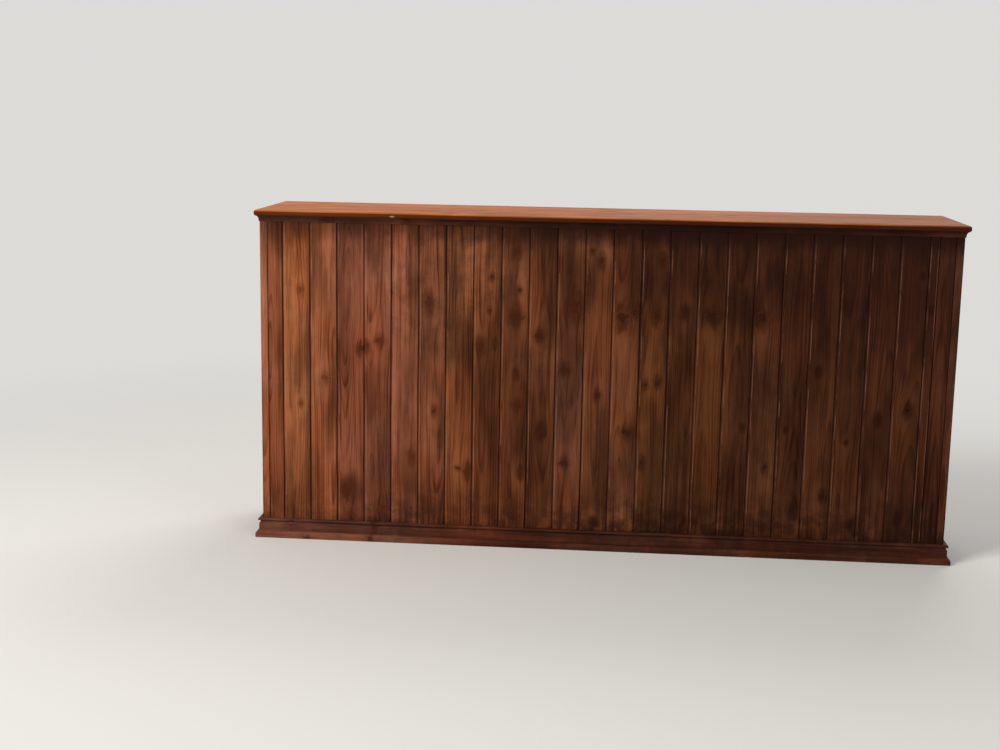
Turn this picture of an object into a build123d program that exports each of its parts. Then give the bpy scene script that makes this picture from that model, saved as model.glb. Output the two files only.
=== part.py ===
from build123d import *
import os

# A boarded timber bar counter, in millimetres. X runs along the front from left to right, Y runs from the
# front to the open back, and Z is up. The origin is on the floor, under the middle of the top.

# Overall sizes
counter_height = 1100
body_length = 2250
body_depth = 400
front_overhang = 30
end_overhang = 12.5
rear_overhang = 10

# The top, one glued slab with a rounded nosing on the front and both ends
top_thickness = 18
nosing_upper_radius = 7
nosing_lower_radius = 5
top_corner_radius = 6

# Tongued, grooved and V-jointed boards
board_cover = 90
board_thickness = 16
board_floor_gap = 4
v_depth = 3
tongue_length = 5
tongue_thickness = 5
tongue_setback = 6.5
joint_gap = 0.5
joint_clearance = 0.25
narrowest_rip = 18

# Corner strips and the narrow stiles beside them
strip_width = 25
strip_round = 3
edge_chamfer = 2
stile_width = 49.5

# Cove moulding under the nosing
cove_height = 20
cove_projection = 11
cove_lip = 2

# Plinth with a bead on its top edge
plinth_height = 65
plinth_thickness = 11
plinth_bead_radius = 4.5
plinth_bead_projection = 14
plinth_quirk = 2
plinth_quirk_face = 7
plinth_ogee_height = 7
plinth_fillet_step = 1.5

# Rounded shoe moulding along the floor
shoe_height = 22.5
shoe_projection = 11

# Framing behind the boards
post_width = 45
rail_height = 70
rail_thickness = 22
bottom_rail_floor_gap = 20
middle_rail_top = 570

# Two partitions make three equal bays of shelves, open to the back
partition_thickness = 18
shelf_thickness = 18
bearer_height = 32
bearer_thickness = 20

# How far along and across a quarter curve its middle lies
quarter_middle = 0.707

# Planes and levels worked out from the sizes above
half_length = body_length / 2
top_depth = front_overhang + body_depth + rear_overhang
front_face = front_overhang - top_depth / 2
rear_face = front_face + body_depth
top_underside = counter_height - top_thickness
framing_front = front_face + board_thickness
framing_end = half_length - board_thickness
post_inner_x = framing_end - post_width
front_post_back = framing_front + post_width
rear_post_front = rear_face - post_width
rail_back = framing_front + rail_thickness
rear_rail_front = rear_face - rail_thickness
bottom_rail_top = bottom_rail_floor_gap + rail_height
partition_x = framing_end / 3
board_length = top_underside - board_floor_gap


def block(low, high):
    """A squared piece between two opposite corners."""
    size = [b - a for a, b in zip(low, high)]
    return Pos(*low) * Box(*size, align=(Align.MIN, Align.MIN, Align.MIN))


def to_the_right(piece):
    """The same piece for the other end of the counter."""
    return mirror(piece, about=Plane.YZ)


# Boards


def board_section(width, grooved, tongued):
    """A V-jointed board in plan: its face on y = 0, its groove on the left and its tongue on the right."""
    left = joint_gap / 2
    right = width - joint_gap / 2
    groove_front = tongue_setback - joint_clearance
    groove_back = tongue_setback + tongue_thickness + joint_clearance
    tongue_back = tongue_setback + tongue_thickness
    outline = [(left + v_depth, 0), (left, v_depth)]
    if grooved:
        outline += [(left, groove_front), (left + tongue_length, groove_front)]
        outline += [(left + tongue_length, groove_back), (left, groove_back)]
    outline += [(left, board_thickness), (right, board_thickness)]
    if tongued:
        outline += [(right, tongue_back), (right + tongue_length, tongue_back)]
        outline += [(right + tongue_length, tongue_setback), (right, tongue_setback)]
    outline += [(right, v_depth), (right - v_depth, 0)]
    return make_face(Polyline(*outline, close=True))


def board(width, grooved, tongued):
    return extrude(board_section(width, grooved, tongued), board_length, dir=(0, 0, 1))


def board_edges(start, finish):
    """Where boards begin and end over a run: full boards, then one ripped to what is left."""
    full = int((finish - start - narrowest_rip) // board_cover)
    return [start + board_cover * i for i in range(full + 1)] + [finish]


def front_boards(edges, first, last):
    """Boards first to last of the front, counted from the left."""
    final = len(edges) - 2
    boards = []
    for i in range(first, last):
        one = board(edges[i + 1] - edges[i], True, i < final)
        boards.append(Pos(edges[i], front_face, board_floor_gap) * one)
    return Compound(children=boards)


def left_end_boards():
    """The left end's boards, the ripped one at the back. Their tongues point to the front."""
    edges = board_edges(framing_front, rear_face)
    final = len(edges) - 2
    boards = []
    for i in range(final + 1):
        one = board(edges[i + 1] - edges[i], i < final, i > 0)
        boards.append(Pos(-half_length, edges[i + 1], board_floor_gap) * Rot(0, 0, -90) * one)
    return Compound(children=boards)


def corner_strip():
    """The left corner strip. Its outer arris is rounded over and its inner one chamfered."""
    low = (-half_length, front_face, board_floor_gap)
    high = (strip_width - half_length - joint_gap / 2, framing_front, top_underside)
    strip = block(low, high)
    inner = strip.edges().filter_by(Axis.Z).sort_by(Axis.Y)[:2].sort_by(Axis.X)[1]
    strip = chamfer(inner, edge_chamfer)
    outer = strip.edges().filter_by(Axis.Z).sort_by(Axis.X)[:2].sort_by(Axis.Y)[0]
    return fillet(outer, strip_round)


def stile(tongued):
    """The left stile, chamfered beside the strip and V-jointed to the boards."""
    left = joint_gap / 2
    right = stile_width - joint_gap / 2
    tongue_back = tongue_setback + tongue_thickness
    outline = [(right - v_depth, 0), (right, v_depth)]
    if tongued:
        outline += [(right, tongue_setback), (right + tongue_length, tongue_setback)]
        outline += [(right + tongue_length, tongue_back), (right, tongue_back)]
    outline += [(right, board_thickness), (left, board_thickness)]
    outline += [(left, edge_chamfer), (left + edge_chamfer, 0)]
    section = make_face(Polyline(*outline, close=True))
    length = extrude(section, board_length, dir=(0, 0, 1))
    return Pos(strip_width - half_length, front_face, board_floor_gap) * length


# Mouldings


def cove_section():
    """The cove, as outward and up distances from the face of the boards at the underside of the top."""
    inner = cove_lip
    upper = -cove_lip
    lower = cove_lip - cove_height
    across = cove_projection - inner
    down = upper - lower
    hollow = ThreePointArc(
        (cove_projection, upper),
        (cove_projection - across * quarter_middle, lower + down * quarter_middle),
        (inner, lower),
    )
    rest = Polyline(
        (inner, lower),
        (inner, -cove_height),
        (0, -cove_height),
        (0, 0),
        (cove_projection, 0),
        (cove_projection, upper),
    )
    return make_face([hollow, *rest.edges()])


def plinth_section():
    """The plinth, as outward and up distances: band, hollow, quirk and bead."""
    bead_foot = plinth_height - 2 * plinth_bead_radius
    bead_middle = plinth_bead_projection - plinth_bead_radius
    hollow_top = bead_foot - plinth_quirk
    hollow_foot = hollow_top - plinth_ogee_height
    hollow_face = plinth_thickness - plinth_fillet_step
    across = hollow_face - plinth_quirk_face
    hollow = ThreePointArc(
        (hollow_face, hollow_foot),
        (hollow_face - across * quarter_middle, hollow_top - plinth_ogee_height * quarter_middle),
        (plinth_quirk_face, hollow_top),
    )
    under_bead = Polyline(
        (plinth_quirk_face, hollow_top),
        (plinth_quirk_face, bead_foot),
        (bead_middle, bead_foot),
    )
    bead = ThreePointArc(
        (bead_middle, bead_foot),
        (plinth_bead_projection, bead_foot + plinth_bead_radius),
        (bead_middle, plinth_height),
    )
    rest = Polyline(
        (bead_middle, plinth_height),
        (0, plinth_height),
        (0, 0),
        (plinth_thickness, 0),
        (plinth_thickness, hollow_foot),
        (hollow_face, hollow_foot),
    )
    return make_face([hollow, *under_bead.edges(), bead, *rest.edges()])


def shoe_section():
    """The shoe: upright, then a quarter round back to the plinth's face."""
    face = plinth_thickness + shoe_projection
    shoulder = shoe_height - shoe_projection
    middle = shoe_projection * quarter_middle
    round_over = ThreePointArc(
        (face, shoulder),
        (plinth_thickness + middle, shoulder + middle),
        (plinth_thickness, shoe_height),
    )
    rest = Polyline(
        (plinth_thickness, shoe_height),
        (plinth_thickness, 0),
        (face, 0),
        (face, shoulder),
    )
    return make_face([round_over, *rest.edges()])


def mitre(level):
    """The plane through the front left corner in which a moulding's front and end lengths meet."""
    return Plane(origin=(-half_length, front_face, level), x_dir=(1, 1, 0), z_dir=(1, -1, 0))


def front_length(section, level):
    """A moulding along the front, mitred at both corners."""
    reach = half_length + front_overhang
    across = Plane(origin=(reach, front_face, level), x_dir=(0, -1, 0), z_dir=(-1, 0, 0))
    length = extrude(across * section, 2 * reach, dir=(-1, 0, 0))
    length = split(length, bisect_by=mitre(level), keep=Keep.TOP)
    return to_the_right(split(to_the_right(length), bisect_by=mitre(level), keep=Keep.TOP))


def left_length(section, level):
    """The same moulding returned along the left end, mitred at the front and square at the back."""
    start = front_face - front_overhang
    across = Plane(origin=(-half_length, start, level), x_dir=(-1, 0, 0), z_dir=(0, 1, 0))
    length = extrude(across * section, rear_face - start, dir=(0, 1, 0))
    return split(length, bisect_by=mitre(level), keep=Keep.BOTTOM)


# The top


def counter_top():
    half_top = half_length + end_overhang
    low = (-half_top, front_face - front_overhang, top_underside)
    high = (half_top, rear_face + rear_overhang, counter_height)
    slab = block(low, high)
    corners = slab.edges().filter_by(Axis.Z).sort_by(Axis.Y)[:2]
    slab = fillet(corners, top_corner_radius)
    back = rear_face + rear_overhang
    upper = [e for e in slab.faces().sort_by(Axis.Z)[-1].edges() if e.center().Y < back - 1]
    slab = fillet(upper, min(nosing_upper_radius, top_thickness * 0.5))
    lower = [e for e in slab.faces().sort_by(Axis.Z)[0].edges() if e.center().Y < back - 1]
    return fillet(lower, min(nosing_lower_radius, top_thickness * 0.4))


# Framing


def left_post(front):
    """A left corner post, behind the stile or in the rear corner."""
    start = framing_front if front else rear_post_front
    return block((-framing_end, start, 0), (-post_inner_x, start + post_width, top_underside))


def front_rail(top):
    low = (-post_inner_x, framing_front, top - rail_height)
    return block(low, (post_inner_x, rail_back, top))


def rear_rail(top):
    low = (-post_inner_x, rear_rail_front, top - rail_height)
    return block(low, (post_inner_x, rear_face, top))


def left_end_rail(top):
    low = (-framing_end, front_post_back, top - rail_height)
    return block(low, (rail_thickness - framing_end, rear_post_front, top))


def left_partition():
    """An upright board between bays, notched at the back over the rear rails."""
    left = -partition_x - partition_thickness / 2
    right = left + partition_thickness
    upright = block((left, rail_back, 0), (right, rear_face, top_underside))
    top_notch = block((left, rear_rail_front, top_underside - rail_height), (right, rear_face, top_underside))
    toe_notch = block((left, rear_rail_front, 0), (right, rear_face, bottom_rail_top))
    return upright - top_notch - toe_notch


# Shelves


def left_shelf(underside, back):
    """An end bay's shelf. It laps the end rail and is cut round the corner posts."""
    right = -partition_x - partition_thickness / 2
    shelf = block((-framing_end, framing_front, underside), (right, back, underside + shelf_thickness))
    for start in (framing_front, rear_post_front):
        low = (-framing_end, start, underside)
        shelf -= block(low, (-post_inner_x, start + post_width, underside + shelf_thickness))
    return shelf


def middle_shelf(underside, back):
    half_bay = partition_x - partition_thickness / 2
    return block((-half_bay, framing_front, underside), (half_bay, back, underside + shelf_thickness))


def left_bearers():
    """The bearers screwed to both faces of the left partition, flush with the top of the middle rail."""
    bearers = []
    for side in (-1, 1):
        middle = -partition_x + side * (partition_thickness + bearer_thickness) / 2
        low = (middle - bearer_thickness / 2, rail_back, middle_rail_top - bearer_height)
        high = (middle + bearer_thickness / 2, rear_post_front, middle_rail_top)
        bearers.append(block(low, high))
    return Compound(children=bearers)


# Every piece by name


def pieces():
    edges = board_edges(strip_width + stile_width - half_length, half_length - strip_width - stile_width)
    count = len(edges) - 1
    thirds = [round(count * i / 3) for i in range(4)]
    yield "counter_top", counter_top()
    for i, place in enumerate(("left", "middle", "right")):
        yield f"front_boards_{place}", front_boards(edges, thirds[i], thirds[i + 1])
    yield "left_stile", stile(True)
    yield "right_stile", to_the_right(stile(False))
    mouldings = [
        ("cove", cove_section(), top_underside),
        ("plinth", plinth_section(), 0),
        ("shoe", shoe_section(), 0),
    ]
    for name, section, level in mouldings:
        yield f"{name}_front", front_length(section, level)
        yield f"{name}_left_end", left_length(section, level)
        yield f"{name}_right_end", to_the_right(left_length(section, level))
    rails = [("bottom", bottom_rail_top), ("middle", middle_rail_top), ("top", top_underside)]
    for name, top in rails:
        yield f"front_{name}_rail", front_rail(top)
    yield "rear_top_rail", rear_rail(top_underside)
    yield "rear_toe_rail", rear_rail(bottom_rail_top)
    yield "middle_deck", middle_shelf(bottom_rail_top, rear_face)
    yield "middle_shelf", middle_shelf(middle_rail_top, rear_post_front)
    paired = [
        ("corner_strip", corner_strip()),
        ("end_boards", left_end_boards()),
        ("front_post", left_post(True)),
        ("rear_post", left_post(False)),
        ("end_bottom_rail", left_end_rail(bottom_rail_top)),
        ("end_middle_rail", left_end_rail(middle_rail_top)),
        ("end_top_rail", left_end_rail(top_underside)),
        ("partition", left_partition()),
        ("deck", left_shelf(bottom_rail_top, rear_face)),
        ("shelf", left_shelf(middle_rail_top, rear_post_front)),
        ("partition_bearers", left_bearers()),
    ]
    for name, piece in paired:
        yield f"left_{name}", piece
        yield f"right_{name}", to_the_right(piece)


os.makedirs("parts", exist_ok=True)
for name, piece in pieces():
    export_step(piece, f"parts/{name}.step")
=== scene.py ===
"""The visible timber of a boarded bar counter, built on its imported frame. All sizes are in metres."""

import math
import random
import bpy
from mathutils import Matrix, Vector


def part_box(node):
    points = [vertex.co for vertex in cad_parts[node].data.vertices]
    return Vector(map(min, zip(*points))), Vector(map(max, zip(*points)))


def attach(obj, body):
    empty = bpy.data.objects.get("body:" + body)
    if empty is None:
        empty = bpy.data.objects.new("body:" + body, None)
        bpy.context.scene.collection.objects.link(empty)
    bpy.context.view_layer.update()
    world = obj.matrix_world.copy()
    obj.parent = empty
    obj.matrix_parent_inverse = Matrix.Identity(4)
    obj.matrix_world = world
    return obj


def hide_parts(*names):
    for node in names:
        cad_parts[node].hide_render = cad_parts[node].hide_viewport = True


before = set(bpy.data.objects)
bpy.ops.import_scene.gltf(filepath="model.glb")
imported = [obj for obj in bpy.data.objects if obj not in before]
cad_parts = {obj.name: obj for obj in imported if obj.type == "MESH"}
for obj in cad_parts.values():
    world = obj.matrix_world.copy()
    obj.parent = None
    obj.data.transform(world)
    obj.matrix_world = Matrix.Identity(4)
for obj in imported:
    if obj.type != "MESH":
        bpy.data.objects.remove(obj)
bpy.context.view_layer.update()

from types import SimpleNamespace

import bmesh
import bpy
from bpy.props import FloatProperty, FloatVectorProperty, IntProperty, PointerProperty
from mathutils import Matrix, Vector, noise

bl_info = {
    "name": "Boarded bar counter",
    "version": (1, 0, 0),
    "blender": (4, 5, 0),
    "location": "View3D > Sidebar > Counter",
    "description": "Builds the boards, mouldings, top and shelves of a timber bar counter",
    "category": "Object",
}

MILLIMETRE = 0.001
SIDES = (("left", -1), ("right", 1))

# Planes of the counter, read from the frame
HALF_LENGTH = -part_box("left_corner_strip")[0].x
FRONT_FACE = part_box("front_boards_left")[0].y
REAR_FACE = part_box("left_end_boards")[1].y
BOARD_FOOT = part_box("front_boards_left")[0].z
TOP_UNDERSIDE, TOP_SURFACE = (corner.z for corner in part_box("counter_top"))
BOARD_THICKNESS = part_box("front_boards_left")[1].y - FRONT_FACE
STRIP_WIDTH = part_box("left_corner_strip")[1].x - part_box("left_corner_strip")[0].x
STILE_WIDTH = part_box("right_stile")[1].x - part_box("right_stile")[0].x

# How far apart the points of the meshes lie
BOARD_STEP = 0.08
SECTION_STEP = 0.014
FRONT_MOULDING_STEP = 0.0225
END_MOULDING_STEP = 0.04
NOSING_STEP = 0.012
CHIP_STEP = 0.0015
TOP_END_STEP = 0.05

# The least rounding of the top's corners, and the angle up to which two faces are shaded as one
LEAST_RADIUS = 0.0005
SMOOTH_ANGLE = math.radians(35)

# Where the seeds of each kind of piece begin
STILE_SEED = 31
STRIP_SEED = 35
FRONT_KNOT_SEED = 40
END_BOARD_SEED = 60
MOULDING_SEED = 80
END_MOULDING_SEED = 90
PLANK_SEED = 120
RAIL_SEED = 200
BEARER_SEED = 230
PARTITION_SEED = 250
SHELF_SEED = 260
SCREW_SEED = 5

# How far to each side of a piece's middle its scattered knots lie
COUNTER_REACH = 1.1
PARTITION_REACH = 0.5
SHELF_REACH = 0.34

# What differs from board to board of the front, from the left. The shades fall off to the right partly as
# painted shade, for light falling from the left. A knot is (across, height, radius): its place
# from the middle of the board in millimetres, its height above the floor in metres, and its radius in
# millimetres, less than nothing for a knot that lies sideways. A patch is (height, reach, strength): paler
# where the strength is above nothing, and darker where it is below. The dark patches high on the boards,
# just under the top, are painted shade; the other patches are faded and worn stain and dirt.
FRONT_SHADES = (
    1.34, 1.32, 0.94, 1.0, 1.0, 0.88, 0.88, 0.74, 0.7, 0.61, 0.68, 0.62,
    0.56, 0.52, 0.42, 0.38, 0.38, 0.38, 0.34, 0.35, 0.32, 0.31, 0.29, 0.28,
)
FRONT_WARMTHS = (
    0.7, 0.4, -0.1, 0.1, 0.2, 0.3, 0.7, 0.6, 0.6, 0.6, 0.2, 0.6,
    0.6, 1.0, 0.8, 1.0, 0.9, 0.7, 0.8, 0.8, 0.8, 0.6, 0.7, 0.6,
)
FRONT_KNOTS = {
    1: ((12, 0.84, 8), (10, 0.46, 6)),
    2: ((4, 0.55, -9),),
    3: ((32, 0.65, -10), (-14, 0.18, -14)),
    4: ((4, 0.68, -10), (-38, 0.66, 8), (15, 0.11, -13)),
    5: ((24, 0.29, 10),),
    6: ((-15, 0.81, 14), (7, 0.45, 7)),
    7: ((28, 0.25, 10), (-4, 0.26, -6)),
    8: ((10, 0.9, 6), (-23, 0.67, 11), (25, 0.68, 7), (4, 0.79, 5)),
    9: ((12, 0.86, 6), (1, 0.98, 10), (-2, 0.77, -14), (6, 0.58, 7), (9, 0.48, -9), (25, 0.25, 9)),
    10: ((-12, 0.71, -10), (0, 0.39, 11)),
    11: ((14, 0.81, 18), (-16, 0.6, -10), (-12, 0.29, -9)),
    12: ((-25, 0.99, 6), (4, 0.96, 10), (1, 0.52, 8), (-4, 0.09, -9)),
    13: ((-13, 0.78, 16), (27, 0.8, 9), (13, 0.4, -12)),
    14: ((4, 0.79, 12), (19, 0.97, 9), (-26, 0.56, 7), (16, 0.57, 8), (-30, 0.3, 9)),
    15: ((6, 0.8, 9),),
    16: ((7, 0.79, -14),),
    17: ((22, 0.43, 6),),
    18: ((-24, 0.79, 14), (12, 0.3, 7)),
    20: ((-12, 0.62, 7), (18, 0.21, 8)),
    22: ((5, 0.47, 8),),
    24: ((0, 0.83, 6),),
}
FRONT_PATCHES = {
    1: ((0.45, 0.4, 0.35), (1.03, 0.05, -0.3)),
    2: ((0.93, 0.22, 0.4), (0.3, 0.2, -0.1)),
    3: ((0.9, 0.22, 0.35), (0.18, 0.05, -0.4), (0.3, 0.1, 0.2)),
    4: ((0.91, 0.1, 0.5), (0.05, 0.05, -0.5), (0.3, 0.2, 0.3)),
    5: ((0.91, 0.07, 0.4), (0.5, 0.22, 0.3), (0.16, 0.14, -0.3)),
    6: ((0.68, 0.2, 0.25), (0.13, 0.1, -0.35)),
    7: ((0.69, 0.1, -0.3), (0.95, 0.12, 0.2), (0.2, 0.15, -0.15)),
    8: ((0.4, 0.2, -0.2), (0.98, 0.1, 0.15)),
    9: ((1.03, 0.08, -0.45), (0.36, 0.14, -0.2), (0.92, 0.07, 0.25)),
    10: ((0.34, 0.17, -0.4), (1.03, 0.07, -0.35), (0.6, 0.1, 0.15)),
    11: ((0.93, 0.1, -0.5), (0.45, 0.25, 0.6), (1.02, 0.07, 0.3)),
    12: ((0.88, 0.1, -0.35), (0.35, 0.3, 0.3), (1.0, 0.07, 0.5)),
    13: ((0.93, 0.16, -0.45), (0.6, 0.15, 0.3), (0.25, 0.22, 0.35)),
    14: ((0.92, 0.25, -0.65), (0.24, 0.2, 0.45), (0.66, 0.1, 0.15)),
    15: ((0.95, 0.25, -0.6), (0.3, 0.2, 0.2)),
    16: ((0.97, 0.25, -0.45), (0.5, 0.16, 0.2)),
    17: ((0.82, 0.08, -0.4), (0.45, 0.2, 0.3), (0.98, 0.2, -0.55)),
    18: ((0.85, 0.15, -0.45), (0.36, 0.25, 0.3), (1.0, 0.2, -0.5)),
    19: ((0.9, 0.25, -0.45),),
    20: ((0.92, 0.25, -0.45), (0.5, 0.2, 0.2)),
    21: ((0.6, 0.2, 0.2), (0.93, 0.3, -0.7)),
    22: ((0.98, 0.32, -0.7), (0.4, 0.2, 0.15)),
    23: ((0.92, 0.35, -0.75), (0.2, 0.12, -0.2)),
    24: ((0.95, 0.4, -0.7),),
}
PATCHES_PER_TIMBER = 3
NO_PATCH = (9.0, 1.0, 0.0)
KNOTS_PER_TIMBER = 6
NO_KNOT = (9.0, 9.0, 0.004)


# Sizes and colours that a user would change


def length_property(name, description, default):
    return FloatProperty(name=name, description=description, default=default, unit="LENGTH")


def angle_property(name, description, degrees):
    return FloatProperty(name=name, description=description, default=math.radians(degrees), subtype="ANGLE")


def power_property(name, description, default):
    return FloatProperty(name=name, description=description, default=default, unit="POWER")


def colour_property(name, description, default):
    return FloatVectorProperty(
        name=name, description=description, default=default, subtype="COLOR", size=3, min=0, max=1
    )


class CounterSizes(bpy.types.PropertyGroup):
    """Sizes of the boards and mouldings that the frame's boxes don't give."""

    board_cover: length_property("Board cover", "Face width of one board", 0.09)
    narrowest_rip: length_property("Narrowest rip", "Least width of the last board", 0.018)
    joint_gap: length_property("Joint gap", "Gap between two boards", 0.0005)
    v_depth: length_property("V depth", "Depth of a board's chamfer", 0.003)
    tongue: length_property("Tongue", "Length and thickness of the tongue", 0.005)
    tongue_setback: length_property("Tongue setback", "From the face to the tongue", 0.0065)
    strip_round: length_property("Strip round", "Outer edge of a corner strip", 0.003)
    edge_chamfer: length_property("Edge chamfer", "Where a strip meets a stile", 0.002)
    cove_lip: length_property("Cove lip", "Flat edges of the cove moulding", 0.002)
    plinth_bead_radius: length_property("Plinth bead", "Radius of the plinth's top bead", 0.0045)
    plinth_quirk: length_property("Plinth quirk", "Gap between the bead and the hollow", 0.002)
    plinth_quirk_depth: length_property("Quirk depth", "From the plinth's face to the quirk", 0.004)
    plinth_hollow: length_property("Plinth hollow", "Height of the hollow under the bead", 0.007)
    plinth_fillet: length_property("Plinth fillet", "Step from the face to the hollow", 0.0015)
    moulding_ease: length_property("Moulding ease", "Foot edge of a moulding", 0.0005)
    nosing_upper: length_property("Nosing, upper", "Radius of the top's upper edge", 0.007)
    nosing_lower: length_property("Nosing, lower", "Radius of the top's lower edge", 0.005)
    top_corner: length_property("Top corner", "Radius of the top's front corners", 0.006)
    arris: length_property("Arris", "Rounding of a sawn edge", 0.0008)
    screw_radius: length_property("Screw radius", "Radius of a screw head", 0.004)
    screw_inset: length_property("Screw inset", "From a rail's edge to its screws", 0.018)
    top_planks: IntProperty(name="Top planks", description="Planks glued into the top", default=3)


class CounterWear(bpy.types.PropertyGroup):
    """How far use and drying have moved and marked the timber."""

    cup: length_property("Cup", "How far a board cups", 0.0005)
    stray: length_property("Stray", "How far a board leaves its line", 0.0006)
    dent: length_property("Dent", "Depth of dents in edges", 0.0012)
    dented_band: length_property("Dented band", "How far in the top's edge is dented", 0.02)
    chip_place: length_property("Chip place", "Where the nosing is chipped", -0.684)
    chip_width: length_property("Chip width", "Width of the nosing's chip", 0.02)
    chip_depth: length_property("Chip depth", "Depth of the nosing's chip", 0.004)
    chip_top: length_property("Chip top", "From the top's surface to the chip", 0.006)


class CounterFinish(bpy.types.PropertyGroup):
    """Colours of the stains, the varnish and the bare timber."""

    board_light: colour_property("Board, light", "Stain over soft wood", (0.2, 0.0575, 0.025))
    board_dark: colour_property("Board, dark", "Stain over hard wood", (0.072, 0.0158, 0.0066))
    board_knot: colour_property("Board knot", "Stained knots", (0.079, 0.0188, 0.0068))
    board_faded: colour_property("Board, faded", "Stain that light has faded", (0.24, 0.087, 0.051))
    # The rubbed colour is worn arrises and also a painted glint of light on the chamfers.
    board_rubbed: colour_property("Board, rubbed", "Arrises rubbed pale", (0.3, 0.125, 0.08))
    moulding_light: colour_property("Moulding, light", "Moulding stain, soft wood", (0.165, 0.043, 0.0185))
    moulding_dark: colour_property("Moulding, dark", "Moulding stain, hard wood", (0.062, 0.0135, 0.006))
    moulding_faded: colour_property("Moulding, faded", "Moulding stain, faded", (0.2, 0.09, 0.06))
    top_light: colour_property("Top, light", "Varnish over soft wood", (0.51, 0.138, 0.027))
    top_dark: colour_property("Top, dark", "Varnish over hard wood", (0.23, 0.055, 0.0115))
    # The top's dirt colour is also laid as painted shade on the nosing and toward the right.
    top_dirt: colour_property("Top, dirt", "Dirt in the varnish", (0.035, 0.0085, 0.004))
    chip: colour_property("Chip", "Bare timber round the chip", (0.45, 0.24, 0.12))
    # The stain's dirt colour is also laid as painted shade under the top and toward the right.
    stain_dirt: colour_property("Stain dirt", "Dirt on stained timber", (0.016, 0.0042, 0.0022))
    pine_light: colour_property("Pine, light", "Bare soft wood", (0.60, 0.40, 0.21))
    pine_dark: colour_property("Pine, dark", "Bare hard wood", (0.41, 0.21, 0.085))
    pine_knot: colour_property("Pine knot", "Bare knots", (0.13, 0.05, 0.022))
    pine_faded: colour_property("Pine, faded", "Bare timber, greyed", (0.4, 0.3, 0.2))
    pine_dirt: colour_property("Pine dirt", "Dirt on bare timber", (0.16, 0.10, 0.055))
    shelf_light: colour_property("Shelf, light", "Sealed soft wood", (0.50, 0.30, 0.13))
    shelf_dark: colour_property("Shelf, dark", "Sealed hard wood", (0.33, 0.15, 0.05))
    shelf_faded: colour_property("Shelf, faded", "Sealed timber, worn", (0.36, 0.25, 0.15))
    steel: colour_property("Screw steel", "Screw heads", (0.25, 0.23, 0.2))
    rust: colour_property("Rust", "Tarnish on screw heads", (0.09, 0.05, 0.03))
    floor: colour_property("Floor", "The plain floor", (0.73, 0.72, 0.70))
    backdrop: colour_property("Backdrop", "What lies beyond the floor", (0.72, 0.71, 0.69))


class CounterView(bpy.types.PropertyGroup):
    """The camera and the lamps."""

    eye: FloatVectorProperty(
        name="Eye", description="Where the camera stands", default=(0.0815, -4.996, 1.463), subtype="XYZ"
    )
    turn: angle_property("Turn", "Camera turned to the left", 4.9)
    dip: angle_property("Dip", "Camera tipped down", 10.4)
    tilt: angle_property("Tilt", "Camera rolled", 0.95)
    lens: FloatProperty(name="Lens", description="Focal length in millimetres", default=54)
    key_power: power_property("Key", "Power of the large left lamp", 520)
    fill_power: power_property("Fill", "Power of the right lamp", 52)
    rear_power: power_property("Rear", "Power of the lamp behind", 110)
    ambient: FloatProperty(name="Ambient", description="Strength of the light from all round", default=0.46)


# Mesh helpers


def arc(centre, radii, start, finish, steps=6):
    """Points along a quarter or half curve. Angles are in degrees and radii are (across, up)."""
    angles = [math.radians(start + (finish - start) * i / steps) for i in range(steps + 1)]
    return [(centre[0] + radii[0] * math.cos(a), centre[1] + radii[1] * math.sin(a)) for a in angles]


def spaced(start, finish, step):
    """Even places from start to finish, about a step apart."""
    count = max(1, round(abs(finish - start) / step))
    return [start + (finish - start) * i / count for i in range(count + 1)]


def spread_outline(outline):
    """The outline with more points on its long straight sides."""
    points = []
    for (u0, v0), (u1, v1) in zip(outline, outline[1:] + outline[:1]):
        parts = max(1, math.ceil(math.hypot(u1 - u0, v1 - v0) / SECTION_STEP))
        points += [(u0 + (u1 - u0) * i / parts, v0 + (v1 - v0) * i / parts) for i in range(parts)]
    return points


def skin(made, rings):
    """Closes a row of rings into one solid form."""
    count = len(rings[0])
    for first, second in zip(rings, rings[1:]):
        for i in range(count):
            j = (i + 1) % count
            made.faces.new((first[i], first[j], second[j], second[i]))
    made.faces.new(rings[0][::-1])
    made.faces.new(rings[-1])
    bmesh.ops.recalc_face_normals(made, faces=made.faces)


def finish_mesh(name, made, grain_points):
    """Turns a bmesh into a linked piece. grain_points holds (across, depth, along) for each vertex."""
    bmesh.ops.recalc_face_normals(made, faces=made.faces)
    mesh = bpy.data.meshes.new(name)
    made.to_mesh(mesh)
    made.free()
    grain = mesh.attributes.new("grain", "FLOAT_VECTOR", "POINT")
    grain.data.foreach_set("vector", [value for point in grain_points for value in point])
    piece = bpy.data.objects.new(name, mesh)
    bpy.context.scene.collection.objects.link(piece)
    mesh.shade_smooth()
    mesh.set_sharp_from_angle(angle=SMOOTH_ANGLE)
    return piece


def upright(u):
    """Where a board, a stile or a strip begins and ends."""
    return BOARD_FOOT, TOP_UNDERSIDE


def swept(name, outline, ends, step, place, nudge=None):
    """A length of timber with one section. outline is (u, v) points, and ends gives the first and last w
    at a u. nudge moves (u, v, w) a little, and place then turns it into the counter's frame."""
    made = bmesh.new()
    middle = (max(u for u, v in outline) + min(u for u, v in outline)) / 2
    first, last = ends(0)
    parts = round((last - first) / step)
    rings, grain_points = [], []
    for i in range(parts + 1):
        ring = []
        for u, v in outline:
            start, finish = ends(u)
            w = start + (finish - start) * i / parts
            moved = nudge(u, v, w) if nudge else (u, v, w)
            ring.append(made.verts.new(place(*moved)))
            grain_points.append((u - middle, v, w))
        rings.append(ring)
    skin(made, rings)
    return finish_mesh(name, made, grain_points)


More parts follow.
